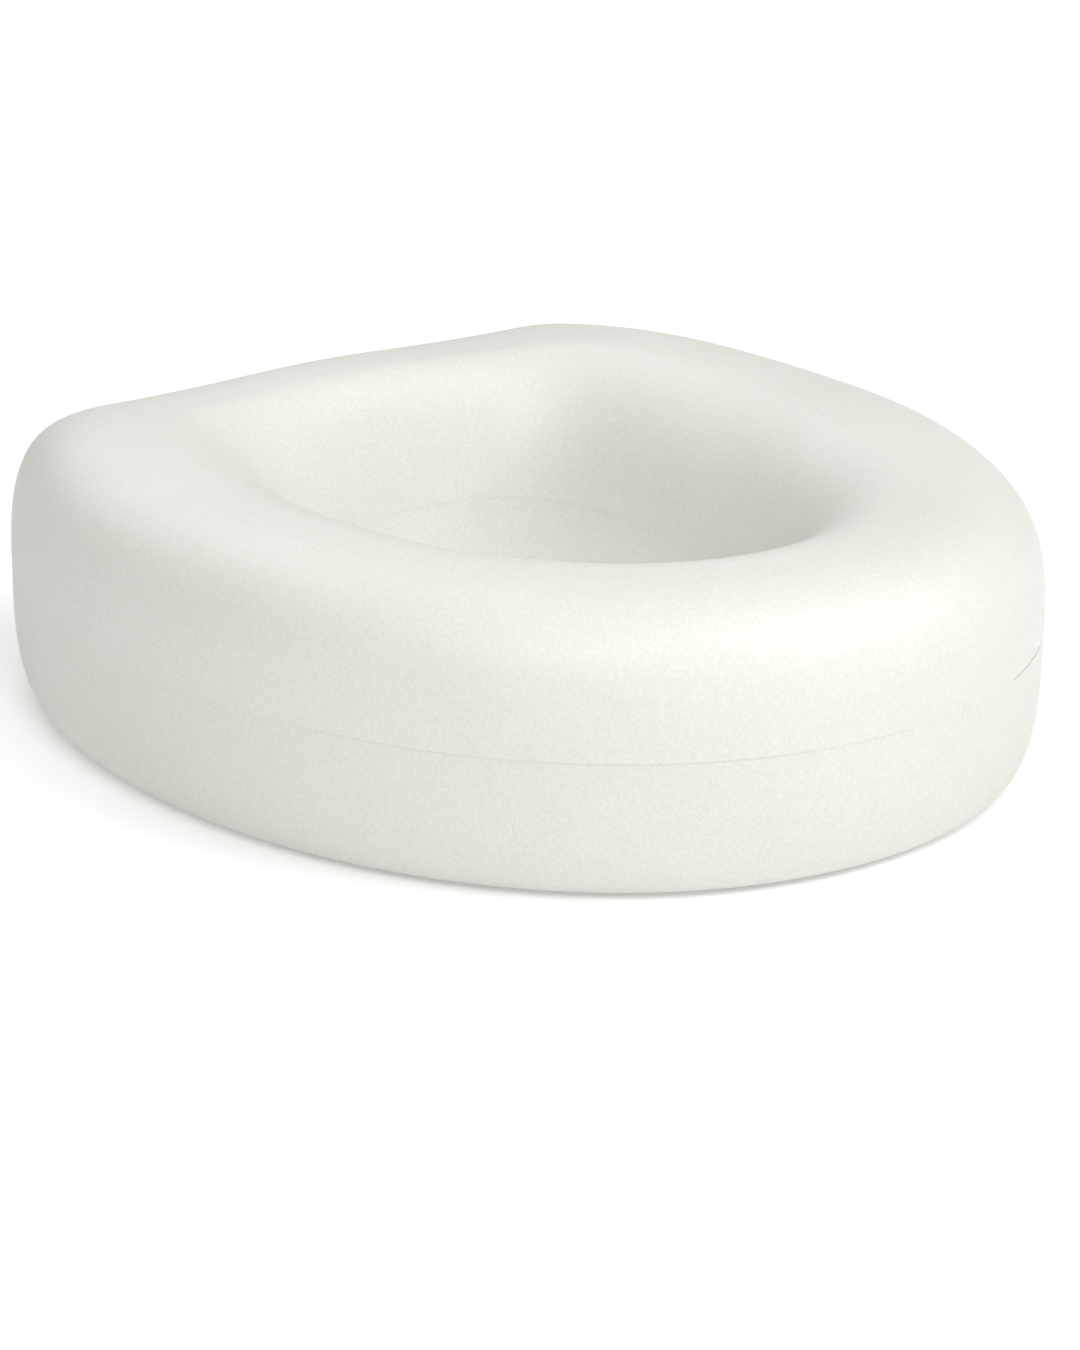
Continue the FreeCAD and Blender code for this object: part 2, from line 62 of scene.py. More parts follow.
SMOOTH_ANGLE = 32.0
EDGE_SEGMENTS = 2
LIP_SEGMENTS = 3
CAMERA_RANGE = 100.0

log = logging.getLogger("raised_toilet_seat")


# ---------------------------------------------------------------------------------------------------
# Shader node helpers and the effects that several materials share


def new_group(name: str, inputs: list[tuple[str, float]], outputs: list[str]) -> ShaderNodeTree:
    """Make an empty shader node group.

    Args:
        name: the group's name.
        inputs: each input's name and default value.
        outputs: the names of the outputs, each of them a number.

    Returns:
        The group, with its two interface nodes named "in" and "out".
    """
    tree = bpy.data.node_groups.new(name, "ShaderNodeTree")
    for label, value in inputs:
        socket = tree.interface.new_socket(label, in_out="INPUT", socket_type="NodeSocketFloat")
        socket.default_value = value
    for label in outputs:
        tree.interface.new_socket(label, in_out="OUTPUT", socket_type="NodeSocketFloat")
    tree.nodes.new("NodeGroupInput").name = "in"
    tree.nodes.new("NodeGroupOutput").name = "out"
    return tree


def noise(tree: ShaderNodeTree, scale: float, detail: float, stretch: Vector = EVEN) -> NodeSocket:
    """Add a noise over the piece's own coordinates.

    Args:
        tree: the tree to add it to.
        scale: features to the metre.
        detail: octaves of finer noise on top.
        stretch: how much the pattern is squeezed along X, Y and Z.

    Returns:
        The noise's value, about 0.5 on average.
    """
    place = tree.nodes.new("ShaderNodeTexCoord")
    mapping = tree.nodes.new("ShaderNodeMapping")
    mapping.inputs["Scale"].default_value = stretch
    texture = tree.nodes.new("ShaderNodeTexNoise")
    texture.inputs["Scale"].default_value = scale
    texture.inputs["Detail"].default_value = detail
    tree.links.new(place.outputs["Object"], mapping.inputs["Vector"])
    tree.links.new(mapping.outputs["Vector"], texture.inputs["Vector"])
    return texture.outputs["Fac"]


def ramp(
    tree: ShaderNodeTree, value: NodeSocket, low: float, high: float, to: tuple[float, float] = FULL
) -> NodeSocket:
    """Map a value smoothly from one range to another.

    Args:
        tree: the tree to add it to.
        value: the value to map.
        low: where the output starts to change.
        high: where it stops.
        to: the output at low and at high.

    Returns:
        The mapped value.
    """
    node = tree.nodes.new("ShaderNodeMapRange")
    node.interpolation_type = "SMOOTHSTEP"
    node.inputs["From Min"].default_value = low
    node.inputs["From Max"].default_value = high
    node.inputs["To Min"].default_value, node.inputs["To Max"].default_value = to
    tree.links.new(value, node.inputs["Value"])
    return node.outputs["Result"]


def combine(
    tree: ShaderNodeTree, operation: str, first: NodeSocket, second: NodeSocket | float
) -> NodeSocket:
    """Add a Math node.

    Args:
        tree: the tree to add it to.
        operation: the Math node's operation.
        first: the first value.
        second: the second value, as a socket or a number.

    Returns:
        The result.
    """
    node = tree.nodes.new("ShaderNodeMath")
    node.operation = operation
    tree.links.new(first, node.inputs[0])
    if isinstance(second, NodeSocket):
        tree.links.new(second, node.inputs[1])
    else:
        node.inputs[1].default_value = second
    return node.outputs["Value"]


def moulded_grain_group() -> ShaderNodeTree:
    """The skin that a textured mould leaves: fine grain over faint, wide flow marks.

    Returns:
        The group. Height is for bump, Grain is a fine mottle and Flow a wide one.
    """
    tree = new_group("moulded_grain", [("Depth", 1.0)], ["Height", "Grain", "Flow"])
    out = tree.nodes["out"]
    fine = noise(tree, scale=1900.0, detail=2.0)
    coarse = noise(tree, scale=780.0, detail=3.0)
    flow = noise(tree, scale=14.0, detail=2.0, stretch=Vector((1.0, 1.0, 1.6)))
    fine_height = combine(tree, "MULTIPLY", fine, FINE_SHARE)
    coarse_height = combine(tree, "MULTIPLY", coarse, COARSE_SHARE)
    height = combine(tree, "ADD", fine_height, coarse_height)
    height = combine(tree, "MULTIPLY", height, tree.nodes["in"].outputs["Depth"])
    tree.links.new(height, out.inputs["Height"])
    tree.links.new(ramp(tree, coarse, low=0.35, high=0.65), out.inputs["Grain"])
    tree.links.new(ramp(tree, flow, low=0.3, high=0.7), out.inputs["Flow"])
    return tree


def handling_group() -> ShaderNodeTree:
    """What use leaves on plastic: polished patches and a few fine scuffs.

    Returns:
        The group. Polish is a wide mask and Scuff a narrow one.
    """
    tree = new_group("handling", [("Amount", 1.0)], ["Polish", "Scuff"])
    out = tree.nodes["out"]
    amount = tree.nodes["in"].outputs["Amount"]
    polish = ramp(tree, noise(tree, scale=9.0, detail=1.0), low=0.45, high=0.7)
    scratches = noise(tree, scale=60.0, detail=4.0, stretch=Vector((0.25, 1.0, 1.0)))
    lines = ramp(tree, scratches, low=0.69, high=0.75)
    where = ramp(tree, noise(tree, scale=16.0, detail=1.0), low=0.52, high=0.64)
    scuff = combine(tree, "MULTIPLY", lines, where)
    tree.links.new(combine(tree, "MULTIPLY", polish, amount), out.inputs["Polish"])
    tree.links.new(combine(tree, "MULTIPLY", scuff, amount), out.inputs["Scuff"])
    return tree


def place_group(tree: ShaderNodeTree, group: ShaderNodeTree, **values: float) -> Node:
    """Put a group in a material.

    Args:
        tree: the material's node tree.
        group: the group to place.
        values: the group's inputs, by name.

    Returns:
        The group node.
    """
    node = tree.nodes.new("ShaderNodeGroup")
    node.node_tree = group
    for label, value in values.items():
        node.inputs[label].default_value = value
    return node


def mix_colour(
    tree: ShaderNodeTree, mask: NodeSocket, base: NodeSocket | tuple, other: tuple
) -> NodeSocket:
    """Blend a colour towards another where a mask says so.

    Args:
        tree: the material's node tree.
        mask: 0 keeps the base, 1 gives the other colour.
        base: the colour to start from, as a socket or as red, green and blue.
        other: the other colour's red, green and blue.

    Returns:
        The blended colour.
    """
    node = tree.nodes.new("ShaderNodeMix")
    node.data_type = "RGBA"
    factor, first, second = node.inputs[0], node.inputs[6], node.inputs[7]
    tree.links.new(mask, factor)
    if isinstance(base, NodeSocket):
        tree.links.new(base, first)
    else:
        first.default_value = (*base, 1.0)
    second.default_value = (*other, 1.0)
    return node.outputs[2]


def bump(tree: ShaderNodeTree, height: NodeSocket, distance: float, strength: float) -> NodeSocket:
    """Turn a height into a normal.

    Args:
        tree: the material's node tree.
        height: the height, from 0 to about 1.
        distance: how deep a height of 1 is, in metres.
        strength: how strongly it shades.

    Returns:
        The normal.
    """
    node = tree.nodes.new("ShaderNodeBump")
    node.inputs["Distance"].default_value = distance
    node.inputs["Strength"].default_value = strength
    tree.links.new(height, node.inputs["Height"])
    return node.outputs["Normal"]


def new_material(name: str) -> tuple[Material, ShaderNodeTree, Node]:
    """Make a material.

    Args:
        name: its name.

    Returns:
        The material, its node tree and its shader.
    """
    material = bpy.data.materials.new(name)
    material.use_nodes = True
    return material, material.node_tree, material.node_tree.nodes["Principled BSDF"]


# ---------------------------------------------------------------------------------------------------
# Finishes


@dataclass(frozen=True)
class MouldedPlastic:
    """Matte ivory polyethylene with the grain of its mould."""

    name: str
    colour: tuple[float, float, float] = (0.750, 0.748, 0.695)
    mottle: tuple[float, float, float] = (0.695, 0.693, 0.636)
    scuffed: tuple[float, float, float] = (0.600, 0.590, 0.540)
    roughness: float = 0.52
    polish: float = 0.1
    grain_roughness: float = 0.05
    grain_depth: float = 0.06 * MM
    grain_strength: float = 0.6
    grain_tint: float = 0.8
    flow_tint: float = 0.2
    scuff_tint: float = 0.25
    index: float = 1.5

    def build(self, groups: "Effects") -> Material:
        """Make the material.

        Args:
            groups: the shared effects.

        Returns:
            The material.
        """
        material, tree, shader = new_material(self.name)
        grain = place_group(tree, groups.grain, Depth=1.0)
        use = place_group(tree, groups.handling, Amount=1.0)
        fine = combine(tree, "MULTIPLY", grain.outputs["Grain"], self.grain_tint)
        wide = combine(tree, "MULTIPLY", grain.outputs["Flow"], self.flow_tint)
        colour = mix_colour(tree, combine(tree, "ADD", fine, wide), self.colour, self.mottle)
        scuffs = combine(tree, "MULTIPLY", use.outputs["Scuff"], self.scuff_tint)
        colour = mix_colour(tree, scuffs, colour, self.scuffed)
        tree.links.new(colour, shader.inputs["Base Color"])
        rough = ramp(tree, use.outputs["Polish"], *FULL, (self.roughness, self.roughness - self.polish))
        grain_rough = combine(tree, "MULTIPLY", grain.outputs["Grain"], self.grain_roughness)
        tree.links.new(combine(tree, "ADD", rough, grain_rough), shader.inputs["Roughness"])
        normal = bump(tree, grain.outputs["Height"], self.grain_depth, self.grain_strength)
        tree.links.new(normal, shader.inputs["Normal"])
        shader.inputs["IOR"].default_value = self.index
        return material


@dataclass(frozen=True)
class Rubber:
    """Soft rubber, dull and slightly dusty."""

    name: str
    colour: tuple[float, float, float]
    dust: tuple[float, float, float]
    roughness: float = 0.82
    polish: float = 0.18
    dustiness: float = 0.35
    grain_depth: float = 0.05 * MM
    grain_strength: float = 0.7
    sheen: float = 0.15

    def build(self, groups: "Effects") -> Material:
        """Make the material.

        Args:
            groups: the shared effects.

        Returns:
            The material.
        """
        material, tree, shader = new_material(self.name)
        grain = place_group(tree, groups.grain, Depth=1.0)
        use = place_group(tree, groups.handling, Amount=1.0)
        dusty = combine(tree, "MULTIPLY", grain.outputs["Flow"], self.dustiness)
        colour = mix_colour(tree, dusty, self.colour, self.dust)
        tree.links.new(colour, shader.inputs["Base Color"])
        rough = ramp(tree, use.outputs["Polish"], *FULL, (self.roughness, self.roughness - self.polish))
        tree.links.new(rough, shader.inputs["Roughness"])
        normal = bump(tree, grain.outputs["Height"], self.grain_depth, self.grain_strength)
        tree.links.new(normal, shader.inputs["Normal"])
        shader.inputs["Sheen Weight"].default_value = self.sheen
        return material


@dataclass(frozen=True)
class PlainSteel:
    """Bright stainless steel with turned and rolled marks."""

    name: str
    colour: tuple[float, float, float] = (0.66, 0.65, 0.63)
    stain: tuple[float, float, float] = (0.48, 0.46, 0.43)
    stain_share: float = 0.5
    roughness: tuple[float, float] = (0.24, 0.38)
    mark_depth: float = 0.02 * MM
    mark_strength: float = 0.4

    def build(self, groups: "Effects") -> Material:
        """Make the material.

        Args:
            groups: the shared effects.

        Returns:
            The material.
        """
        material, tree, shader = new_material(self.name)
        grain = place_group(tree, groups.grain, Depth=1.0)
        rings = noise(tree, scale=2400.0, detail=2.0, stretch=Vector((0.15, 0.15, 1.0)))
        stained = combine(tree, "MULTIPLY", grain.outputs["Flow"], self.stain_share)
        tree.links.new(mix_colour(tree, stained, self.colour, self.stain), shader.inputs["Base Color"])
        shader.inputs["Metallic"].default_value = 1.0
        rough = ramp(tree, rings, low=0.3, high=0.7, to=self.roughness)
        tree.links.new(rough, shader.inputs["Roughness"])
        tree.links.new(bump(tree, rings, self.mark_depth, self.mark_strength), shader.inputs["Normal"])
        return material


class Effects:
    """The shared node groups, each built once."""

    def __init__(self) -> None:
        """Build the groups."""
        self.grain = moulded_grain_group()
        self.handling = handling_group()


class Finish(Enum):
    """The finishes of this seat."""

    SEAT = MouldedPlastic("ivory_seat_plastic")
    BASE = MouldedPlastic("ivory_base_plastic", (0.745, 0.741, 0.684), (0.690, 0.684, 0.625))
    CAP = MouldedPlastic("ivory_cap_plastic", colour=(0.70, 0.70, 0.64), roughness=0.45)
    PAD = Rubber("pad_rubber", (0.30, 0.31, 0.31), (0.45, 0.45, 0.43))
    SEAL = Rubber("seal_foam", (0.62, 0.62, 0.58), (0.70, 0.70, 0.66), 0.95)
    VENT = Rubber("vent_rubber", (0.46, 0.47, 0.46), (0.56, 0.56, 0.54))
    SCREW = PlainSteel("stainless_steel")


class Workshop:
    """Hands out each finish's material, built on first use."""

    def __init__(self) -> None:
        """Start with the shared effects and no materials."""
        self.effects = Effects()
        self.made: dict[Finish, Material] = {}

    def material(self, finish: Finish) -> Material:
        """Get a finish's material.

        Args:
            finish: the finish.

        Returns:
            Its material.
        """
        if finish not in self.made:
            self.made[finish] = finish.value.build(self.effects)
        return self.made[finish]

    def dress(self, piece: Object, finish: Finish) -> None:
        """Give a piece one finish all over."""
        piece.data.materials.clear()
        piece.data.materials.append(self.material(finish))

    def hand_over(self, piece: Object, node: str, finish: Finish) -> None:
        """Finish a new piece and put it in place of a CAD node.

        Args:
            piece: the piece, in its place.
            node: the CAD node that it stands for.
            finish: its finish.
        """
        self.dress(piece, finish)
        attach(piece, ROOT)
        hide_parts(node)
        log.info("%s stands for %s, in %s", piece.name, node, finish.value.name)


# ---------------------------------------------------------------------------------------------------
# Modelling helpers


def start_shape(name: str) -> Object:
    """Name the primitive that was just added and open it for editing, selected all over.

    Args:
        name: the piece's name.

    Returns:
        The object.
    """
    shape = bpy.context.object
    shape.name = name
    shape.data.name = name
    bpy.ops.object.mode_set(mode="EDIT")
    bpy.ops.mesh.select_all(action="SELECT")
    return shape


def close_shape(shape: Object) -> None:
    """Merge doubled vertices, turn the faces outwards and leave edit mode.

    Args:
        shape: the object being edited.
    """
    bpy.ops.mesh.select_all(action="SELECT")
    bpy.ops.mesh.remove_doubles(threshold=MERGE_DISTANCE)
    bpy.ops.mesh.normals_make_consistent(inside=False)
    bpy.ops.object.mode_set(mode="OBJECT")
    shape.select_set(False)


def only(*shapes: Object) -> None:
    """Select these objects and no others.

    Args:
        shapes: the objects; the first one becomes the active one.
    """
    bpy.ops.object.select_all(action="DESELECT")
    for shape in shapes:
        shape.select_set(True)
    bpy.context.view_layer.objects.active = shapes[0]


def turned(name: str, profile: list[tuple[float, float]], sides: int) -> Object:
    """Turn a solid about Z: a disc, drawn on ring by ring.

    Args:
        name: the object's name.
        profile: radius and height of each ring. The first and the last are closed with a disc.
        sides: how many sides the rings have.

    Returns:
        The object.
    """
    radius, height = profile[0]
    place = (0.0, 0.0, height)
    bpy.ops.mesh.primitive_circle_add(vertices=sides, radius=radius, fill_type="NGON", location=place)
    bpy.ops.object.transform_apply(location=True)
    shape = start_shape(name)
    for wider, higher in profile[1:]:
        bpy.ops.mesh.extrude_region_move(TRANSFORM_OT_translate={"value": (0.0, 0.0, higher - height)})
        growth = wider / radius
        bpy.ops.transform.resize(value=(growth, growth, 1.0), center_override=(0.0, 0.0, higher))
        radius, height = wider, higher
    close_shape(shape)
    return shape


def block(name: str, low: Vector, high: Vector, corner: float, segments: int = EDGE_SEGMENTS) -> Object:
    """Make an upright block with rounded upright edges.

    Args:
        name: the object's name.
        low: its lowest corner.
        high: its highest corner.
        corner: radius of the upright edges.
        segments: how finely they are rounded.

    Returns:
        The object.
    """
    bpy.ops.mesh.primitive_cube_add(size=1.0, location=(low + high) / 2.0)
    bpy.context.object.scale = high - low
    bpy.ops.object.transform_apply(location=True, scale=True)
    shape = start_shape(name)
    bpy.ops.mesh.select_mode(type="EDGE")
    bpy.ops.mesh.select_all(action="DESELECT")
    bpy.ops.object.mode_set(mode="OBJECT")
    for edge in shape.data.edges:
        a, b = (shape.data.vertices[i].co for i in edge.vertices)
        edge.select = abs(a.z - b.z) > MERGE_DISTANCE
    bpy.ops.object.mode_set(mode="EDIT")
    bpy.ops.mesh.bevel(offset=corner, segments=segments, affect="EDGES")
    close_shape(shape)
    return shape


def soften(shape: Object, radius: float, segments: int) -> None:
    """Round every sharp edge.

    Args:
        shape: the piece.
        radius: how far the rounding reaches on each side of the edge.
        segments: how finely it is rounded.
    """
    only(shape)
    bpy.ops.object.mode_set(mode="EDIT")
    bpy.ops.mesh.select_mode(type="EDGE")
    bpy.ops.mesh.select_all(action="DESELECT")
    bpy.ops.mesh.edges_select_sharp(sharpness=math.radians(CORNER_ANGLE))
    bpy.ops.mesh.bevel(offset=radius, segments=segments, affect="EDGES")
    close_shape(shape)


def copies(shape: Object, places: list[Matrix]) -> list[Object]:
    """Copy a shape to several places, each copy with its own mesh, and drop the shape itself.

    Args:
        shape: the shape, in its own frame.
        places: where the copies go.

    Returns:
        The copies, at the origin, with their places in their meshes.
    """
    found = []
    for place in places:
        only(shape)
        bpy.ops.object.duplicate()
        copy = bpy.context.object
        copy.matrix_world = place
        bpy.ops.object.transform_apply(location=True, rotation=True, scale=True)
        found.append(copy)
    bpy.data.objects.remove(shape)
    return found


def joined(shapes: list[Object]) -> Object:
    """Make one object of several shapes that don't touch.

    Args:
        shapes: the shapes.

    Returns:
        The object.
    """
    only(*shapes)
    bpy.ops.object.join()
    return bpy.context.object


def combine_solids(shape: Object, tool: Object, operation: str) -> None:
    """Join a tool to a solid, cut it out of it or keep what they share, and drop the tool.

    Args:
        shape: the solid that is changed.
        tool: the other solid.
        operation: UNION, DIFFERENCE or INTERSECT.
    """
    only(shape)
    modifier = shape.modifiers.new(operation.lower(), "BOOLEAN")
    modifier.operation = operation
    modifier.object = tool
    modifier.solver = "EXACT"
    bpy.ops.object.modifier_apply(modifier=modifier.name)
    bpy.data.objects.remove(tool)


def smooth(shape: Object) -> None:
    """Shade a piece smooth, and its flats flat, except across its sharper edges.

    Args:
        shape: the piece.
    """
    only(shape)
    bpy.ops.object.shade_smooth_by_angle(angle=math.radians(SMOOTH_ANGLE))
    weighted = shape.modifiers.new("weighted_normals", "WEIGHTED_NORMAL")
    weighted.keep_sharp = True
    bpy.ops.object.modifier_apply(modifier=weighted.name)
    shape.select_set(False)


def swept(name: str, sections: list[list[Vector]]) -> Object:
    """Close a flat sheet into a ring with the given sections.

    Args:
        name: the object's name.
        sections: for each place round the ring, the closed loop of points of the section there.

    Returns:
        The object.
    """
    around, along = len(sections), len(sections[0])
    bpy.ops.mesh.primitive_grid_add(x_subdivisions=around, y_subdivisions=along, size=1.0)
    shape = bpy.context.object
    points = []
    for row in range(along + 1):
        for column in range(around + 1):
            points.extend(sections[column % around][row % along])
    shape.data.vertices.foreach_set("co", points)
    start_shape(name)
    close_shape(shape)
    return shape


# ---------------------------------------------------------------------------------------------------
# The form of the ring


@dataclass(frozen=True)
class Station:
    """A point of an outline, seen from above, and its normal out of the material."""

    point: Vector
    normal: Vector

    def inset(self, depth: float) -> Vector:
        """The point that lies this deep inside the material."""
        return self.point - self.normal * depth


def quarter(width: float, height: float, power: float, rows: int) -> list[tuple[float, float]]:
    """Evenly spaced points of a superellipse quarter.

    Args:
        width: how far it reaches across.
        height: how far it climbs.
        power: 2 is an ellipse, more is squarer.
        rows: how many steps it has.

    Returns:
        Distance across and height of each point, from (0, 0), where the curve is upright.
    """
    curve = []
    for i in range(CURVE_SAMPLES + 1):
        t = math.pi / 2.0 * i / CURVE_SAMPLES
        across = 1.0 - max(0.0, math.cos(t)) ** (2.0 / power)
        curve.append((width * across, height * math.sin(t) ** (2.0 / power)))
    lengths = [0.0]
    for a, b in zip(curve, curve[1:]):
        lengths.append(lengths[-1] + math.dist(a, b))
    points = []
    k = 0
    for i in range(rows + 1):
        wanted = lengths[-1] * i / rows
        while k < CURVE_SAMPLES - 1 and lengths[k + 1] < wanted:
            k += 1
        share = (wanted - lengths[k]) / (lengths[k + 1] - lengths[k])
        (x0, z0), (x1, z1) = curve[k], curve[k + 1]
        points.append((x0 + (x1 - x0) * share, z0 + (z1 - z0) * share))
    return points


@dataclass
class RingForm:
    """The outline, the opening and the section that both mouldings share.

    Reaches are measured from the widest line of the ring, insets and walls from its skin inwards, and
    levels from the floor. A power is that of a superellipse: 2 is an ellipse and more is squarer.
    """

    half_width: float = 192.0 * MM
    front_reach: float = 234.0 * MM
    back_reach: float = 227.0 * MM
    back_line: float = 167.0 * MM
    outline_power: float = 2.07
    back_corner: float = 26.0 * MM
    height: float = 113.7 * MM
    foot_level: float = 1.0 * MM
    parting: float = 57.2 * MM
    opening_half_width: float = 81.0 * MM
    opening_reach: float = 111.0 * MM
    opening_shift: float = 20.5 * MM
    opening_front_power: float = 1.95
    opening_back_power: float = 3.4
    crest_inset: float = 58.5 * MM
    crest_share: float = 0.8
    crest_blend: float = 6.0
    wave_height: float = 1.0 * MM
    wave_count: float = 7.0
    outer_roll_power: float = 3.15
    inner_roll_power: float = 1.9
    foot_inset: float = 18.0 * MM
    foot_power: float = 3.1
    lip_inset: float = 9.0 * MM
    lip_power: float = 3.6
    wall: float = 3.6 * MM
    land: float = 2.9 * MM
    seam_gap: float = 0.02 * MM
    seam_step: float = 0.15 * MM
    curve_stations: int = 88
    corner_stations: int = 18
    back_stations: int = 22
    roll_rows: int = 26
    wall_rows: int = 14
    side_samples: int = 200
    crest_steps: int = 20
    widest_y: float = field(init=False)
    back_y: float = field(init=False)
    middle: Vector = field(init=False)
    outer: list[Station] = field(init=False)
    inner: list[Station] = field(init=False)
    crests: list[Vector] = field(init=False)

    def __post_init__(self) -> None:
        """Lay out the two outlines and the crest between them."""
        self.widest_y = (self.front_reach - self.back_line) / 2.0
        self.back_y = self.widest_y + self.back_line
        self.middle = Vector((0.0, self.widest_y - self.opening_shift, 0.0))
        sides = [self.side(180.0 - 360.0 * i / self.side_samples).point for i in range(self.side_samples)]
        self.outer = self.outline()
        self.inner = self.opening()
        self.crests = [self.crest(o.point, i.point, sides) for o, i in zip(self.outer, self.inner)]

    def side(self, angle: float) -> Station:
        """A place on the curved side.

        Args:
            angle: 0 at the front to 180 at the rear, before the straight back cuts it.

        Returns:
            The station there.
        """
        s, c = math.sin(math.radians(angle)), math.cos(math.radians(angle))
        reach = self.front_reach if c > 0.0 else self.back_reach
        share = 2.0 / self.outline_power
        x = self.half_width * math.copysign(abs(s) ** share, s)
        y = -math.copysign(reach * abs(c) ** share, c)
        slope = self.outline_power - 1.0
        across = math.copysign(abs(x / self.half_width) ** slope / self.half_width, x)
        along = math.copysign(abs(y / reach) ** slope / reach, y)
        return Station(Vector((x, y + self.widest_y, 0.0)), Vector((across, along, 0.0)).normalized())

    def outline(self) -> list[Station]:
        """The closed outer outline, from the middle of the back.

        Returns:
            Its stations: down the right side to the front and up the left side.
        """
        low, high = 90.0, 180.0
        for _ in range(SEARCH_STEPS):
            half_way = (low + high) / 2.0
            place = self.side(half_way)
            if place.point.y - self.back_corner * place.normal.y < self.back_y - self.back_corner:
                low = half_way
            else:
                high = half_way
        half = [self.side(low * i / self.curve_stations) for i in range(self.curve_stations + 1)]
        half[0] = Station(half[0].point, Vector((0.0, -1.0, 0.0)))
        centre = half[-1].inset(self.back_corner)
        start = math.atan2(half[-1].normal.y, half[-1].normal.x)
        for i in range(1, self.corner_stations + 1):
            a = start + (math.pi / 2.0 - start) * i / self.corner_stations
            normal = Vector((math.cos(a), math.sin(a), 0.0))
            half.append(Station(centre + normal * self.back_corner, normal))
        for i in range(1, self.back_stations + 1):
            x = centre.x * (1.0 - i / self.back_stations)
            half.append(Station(Vector((x, self.back_y, 0.0)), Vector((0.0, 1.0, 0.0))))
        left = []
        for s in half[1:-1]:
            mirrored = Vector((-s.normal.x, s.normal.y, 0.0))
            left.append(Station(Vector((-s.point.x, s.point.y, 0.0)), mirrored))
        return half[::-1] + left

    def opening_point(self, direction: Vector) -> Vector:
        """A point of the opening's outline.

        Args:
            direction: which way it lies from the middle of the opening.

        Returns:
            The point.
        """
        power = self.opening_front_power if direction.y < 0.0 else self.opening_back_power
        shares = abs(direction.x / self.opening_half_width) ** power
        shares += abs(direction.y / self.opening_reach) ** power
        return self.middle + direction * shares ** (-1.0 / power)

    def opening(self) -> list[Station]:
        """The closed outline of the opening.

        Returns:
            Its stations, each opposite one of the outer outline.
        """
        points = [self.opening_point((s.point - self.middle).normalized()) for s in self.outer]
        found = []
        for i, p in enumerate(points):
            along = points[(i + 1) % len(points)] - points[i - 1]
            found.append(Station(p, Vector((along.y, -along.x, 0.0)).normalized()))
        return found

    def least_of(self, first: float, second: float) -> float:
        """The smaller of two lengths, eased where they are nearly equal."""
        blend = self.crest_blend
        return ((first / MM) ** -blend + (second / MM) ** -blend) ** (-1.0 / blend) * MM

    def crest(self, point: Vector, facing: Vector, sides: list[Vector]) -> Vector:
        """The crest's place between an outer point and the opening.

        Args:
            point: the outer point.
            facing: the point of the opening across from it.
            sides: points all along the curved sides.

        Returns:
            The crest, seen from above.
        """
        across = (facing - point).normalized()
        low, high = 0.0, (facing - point).length
        limit = self.crest_share * high
        for _ in range(self.crest_steps):
            half_way = (low + high) / 2.0
            place = point + across * half_way
            from_side = min((place - p).length_squared for p in sides) ** 0.5
            if self.least_of(from_side, self.back_y - place.y) < self.crest_inset:
                low = half_way
            else:
                high = half_way
        return point + across * self.least_of(low, limit)

    def crest_height(self, crest: Vector) -> float:
        """Height of the crest: a slow wave that fades towards the front.

        Args:
            crest: where the crest is, seen from above.

        Returns:
            The height above the floor.
        """
        from_back = math.atan2(crest.x - self.middle.x, crest.y - self.middle.y)
        fade = math.cos(from_back / 2.0) ** 2
        return self.height + self.wave_height * math.cos(self.wave_count * from_back) * fade

    def over_seat(self, i: int, depth: float) -> list[Vector]:
        """Points over the seat at a station: up the outer wall, over the crest and down the opening.

        Args:
            i: the station's number.
            depth: how deep below the skin they lie.

        Returns:
            The points, from parting plane to parting plane.
        """
        start, end, crest = self.outer[i].inset(depth), self.inner[i].inset(depth), self.crests[i]
        rise = self.crest_height(crest) - depth - self.parting
        out, back = start - crest, end - crest
        climb = quarter(out.length, rise, self.outer_roll_power, self.roll_rows)
        fall = quarter(back.length, rise, self.inner_roll_power, self.roll_rows)[::-1][1:]
        points = [start - out.normalized() * d + UP * (self.parting + z) for d, z in climb]
        return points + [end - back.normalized() * d + UP * (self.parting + z) for d, z in fall]

    def down_wall(self, station: Station, inset: float, power: float, depth: float) -> list[Vector]:
        """Points down a lower wall.

        Args:
            station: where on the outline.
            inset: how far the wall draws in down to the foot.
            power: how squarely it does so.
            depth: how deep below the skin the points lie.

        Returns:
            The points, from the parting plane down.
        """
        drop = self.parting - self.foot_level - depth
        edge = station.inset(depth + self.seam_step)
        curve = quarter(inset, drop, power, self.wall_rows)
        return [edge - station.normal * d + UP * (self.parting - z) for d, z in curve]

    def foot_place(self, angle: float) -> Matrix:
        """A frame half way across the underside, with X along the ring and Y out across it.

        Args:
            angle: degrees from the front.

        Returns:
            The frame, at floor level.
        """
        a = math.radians(angle)
        direction = Vector((math.sin(a), -math.cos(a), 0.0))
        near = (self.opening_point(direction) - self.middle).length + self.lip_inset
        end = self.middle + direction
        foot = [s.inset(self.foot_inset) for s in self.outer]
        far = near
        for p, q in zip(foot, foot[1:] + foot[:1]):
            crossing = intersect_line_line_2d(self.middle.xy, end.xy, p.xy, q.xy)
            if crossing is not None:
                far = (crossing - self.middle.xy).length
        place = self.middle + direction * (near + far) / 2.0
        return Matrix.Translation(place) @ Matrix.Rotation(a + math.pi, 4, "Z")


